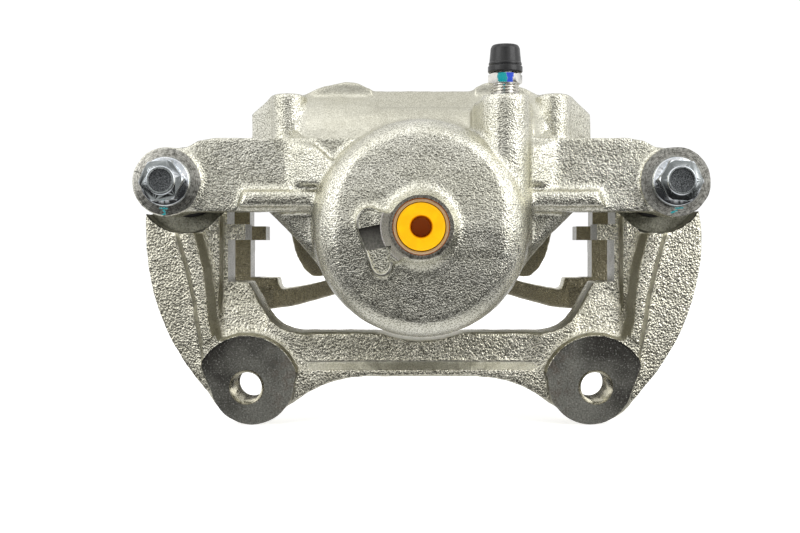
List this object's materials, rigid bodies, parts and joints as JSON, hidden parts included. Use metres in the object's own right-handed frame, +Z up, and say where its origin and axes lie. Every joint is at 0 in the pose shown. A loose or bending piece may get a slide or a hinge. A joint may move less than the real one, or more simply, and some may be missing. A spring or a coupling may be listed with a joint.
{
  "type": "brake caliper",
  "caption": "Floating disc brake caliper on its anchor bracket: cast housing with cylinder, bleeder and bridge, sliding on two guide pins.",
  "frame": {"origin": "midway between the two bracket bolt holes, on the machined face of the lugs that bolts to the knuckle", "axes": "-Y inboard, towards the knuckle and the cylinder's closed end; +Y outboard, towards the claw; +Z up, from the lugs to the bridge; +X along the line of the two lug holes"},
  "size_m": [0.2036, 0.129, 0.1321],
  "materials": {
    "bracket_casting": "sand cast with a zinc plating, machined faces",
    "housing_casting": "sand cast with a zinc plating, machined faces",
    "piston_steel": "ground and chrome plated",
    "zinc_steel": "bright zinc plated steel",
    "spring_steel": "plain spring steel",
    "black_rubber": "moulded black rubber",
    "cap_rubber": "glossy moulded black rubber",
    "yellow_plastic": "yellow moulded plastic"
  },
  "bodies": {
    "bracket": {"anchor_bracket": "bracket_casting"},
    "caliper": {"caliper_housing": "housing_casting", "piston_seal": "black_rubber", "dust_boot_ring": "spring_steel", "piston_dust_boot": "black_rubber", "guide_pin_left": "zinc_steel", "guide_pin_right": "zinc_steel", "guide_pin_bushing": "black_rubber", "pin_bolt_left": "zinc_steel", "pin_bolt_right": "zinc_steel", "pin_boot_left": "black_rubber", "pin_boot_right": "black_rubber"},
    "piston": {"piston": "piston_steel"},
    "bleeder": {"bleeder_screw": "zinc_steel"},
    "cap": {"bleeder_cap": "cap_rubber"},
    "plug": {"inlet_plug": "yellow_plastic"}
  },
  "joints": [
    {"name": "caliper_slide", "type": "slide", "parent": "bracket", "child": "caliper", "axis": [0, 1, 0], "range_m": [-0.006, 0.01], "deforming": ["pin_boot_left", "pin_boot_right"]},
    {"name": "piston_slide", "type": "slide", "parent": "caliper", "child": "piston", "axis": [0, 1, 0], "range_m": [-0.003, 0.02], "deforming": ["piston_dust_boot"]},
    {"name": "bleeder_turn", "type": "hinge", "parent": "caliper", "child": "bleeder", "pos_m": [0.028, -0.031, 0.105], "axis": [0, 0, 1], "range_deg": [0, 270]},
    {"name": "bleeder_cap_pull", "type": "slide", "parent": "bleeder", "child": "cap", "axis": [0, 0, 1], "range_m": [0, 0.015]},
    {"name": "inlet_plug_pull", "type": "slide", "parent": "caliper", "child": "plug", "axis": [0, -1, 0], "range_m": [0, 0.014]}
  ]
}
